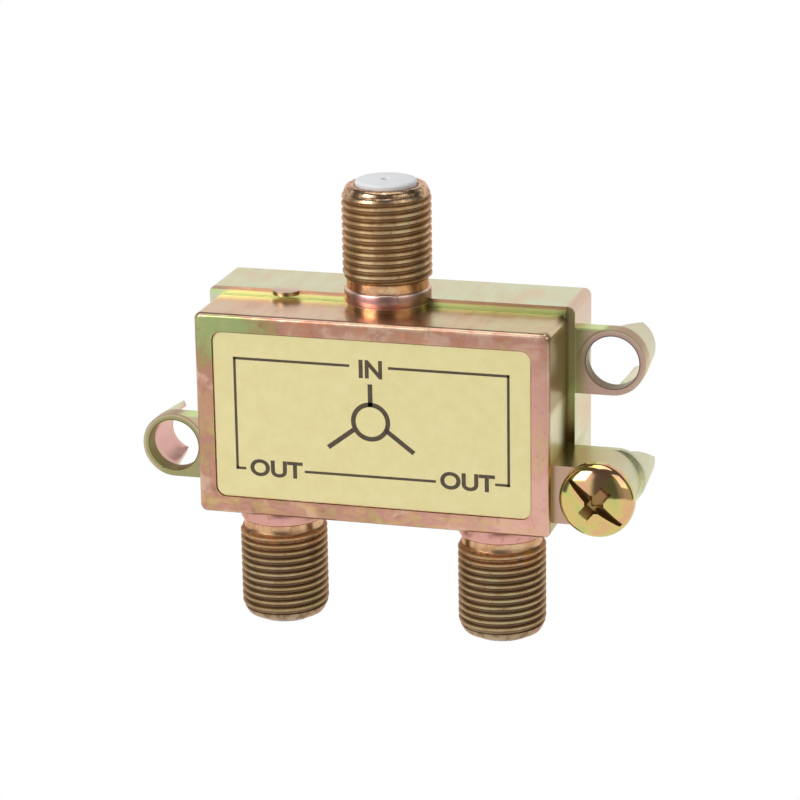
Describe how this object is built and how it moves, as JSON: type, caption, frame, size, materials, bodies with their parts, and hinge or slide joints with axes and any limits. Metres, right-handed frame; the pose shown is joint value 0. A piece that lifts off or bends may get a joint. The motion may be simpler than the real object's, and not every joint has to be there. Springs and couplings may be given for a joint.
{
  "type": "coaxial signal splitter",
  "caption": "Die-cast coaxial splitter with a threaded input port, threaded output ports, screw ears, a ground screw and a framed label.",
  "frame": {"origin": "centre of the rear mounting face", "axes": "+Z along the input port, -Y out of the labelled front, +X to the reader's right"},
  "size_m": [0.0555, 0.0163, 0.0486],
  "materials": {
    "casting": "yellow iridescent chromate over zinc",
    "cover": "satin plated",
    "label": "matt film, printed",
    "screw": "bright yellow zinc",
    "board": "bare laminate",
    "ferrite": "matt sintered",
    "wire": "enamelled",
    "resistor": "lacquered",
    "capacitor": "dipped",
    "insulator": "natural moulded",
    "contact": "tinned spring metal"
  },
  "bodies": {
    "splitter": {"housing": "casting", "back_cover": "cover", "label": "label", "circuit_board": "board", "matching_core": "ferrite", "matching_winding": "wire", "splitting_core": "ferrite", "splitting_winding": "wire", "balance_resistor": "resistor", "input_capacitor": "capacitor", "in_insulator": "insulator", "in_bushing": "insulator", "in_contact": "contact", "out_left_insulator": "insulator", "out_left_bushing": "insulator", "out_left_contact": "contact", "out_right_insulator": "insulator", "out_right_bushing": "insulator", "out_right_contact": "contact"},
    "screw": {"ground_screw": "screw"}
  },
  "joints": [
    {"name": "ground_screw_travel", "type": "slide", "parent": "splitter", "child": "screw", "axis": [0, -1, 0], "range_m": [0, 0.003]}
  ]
}
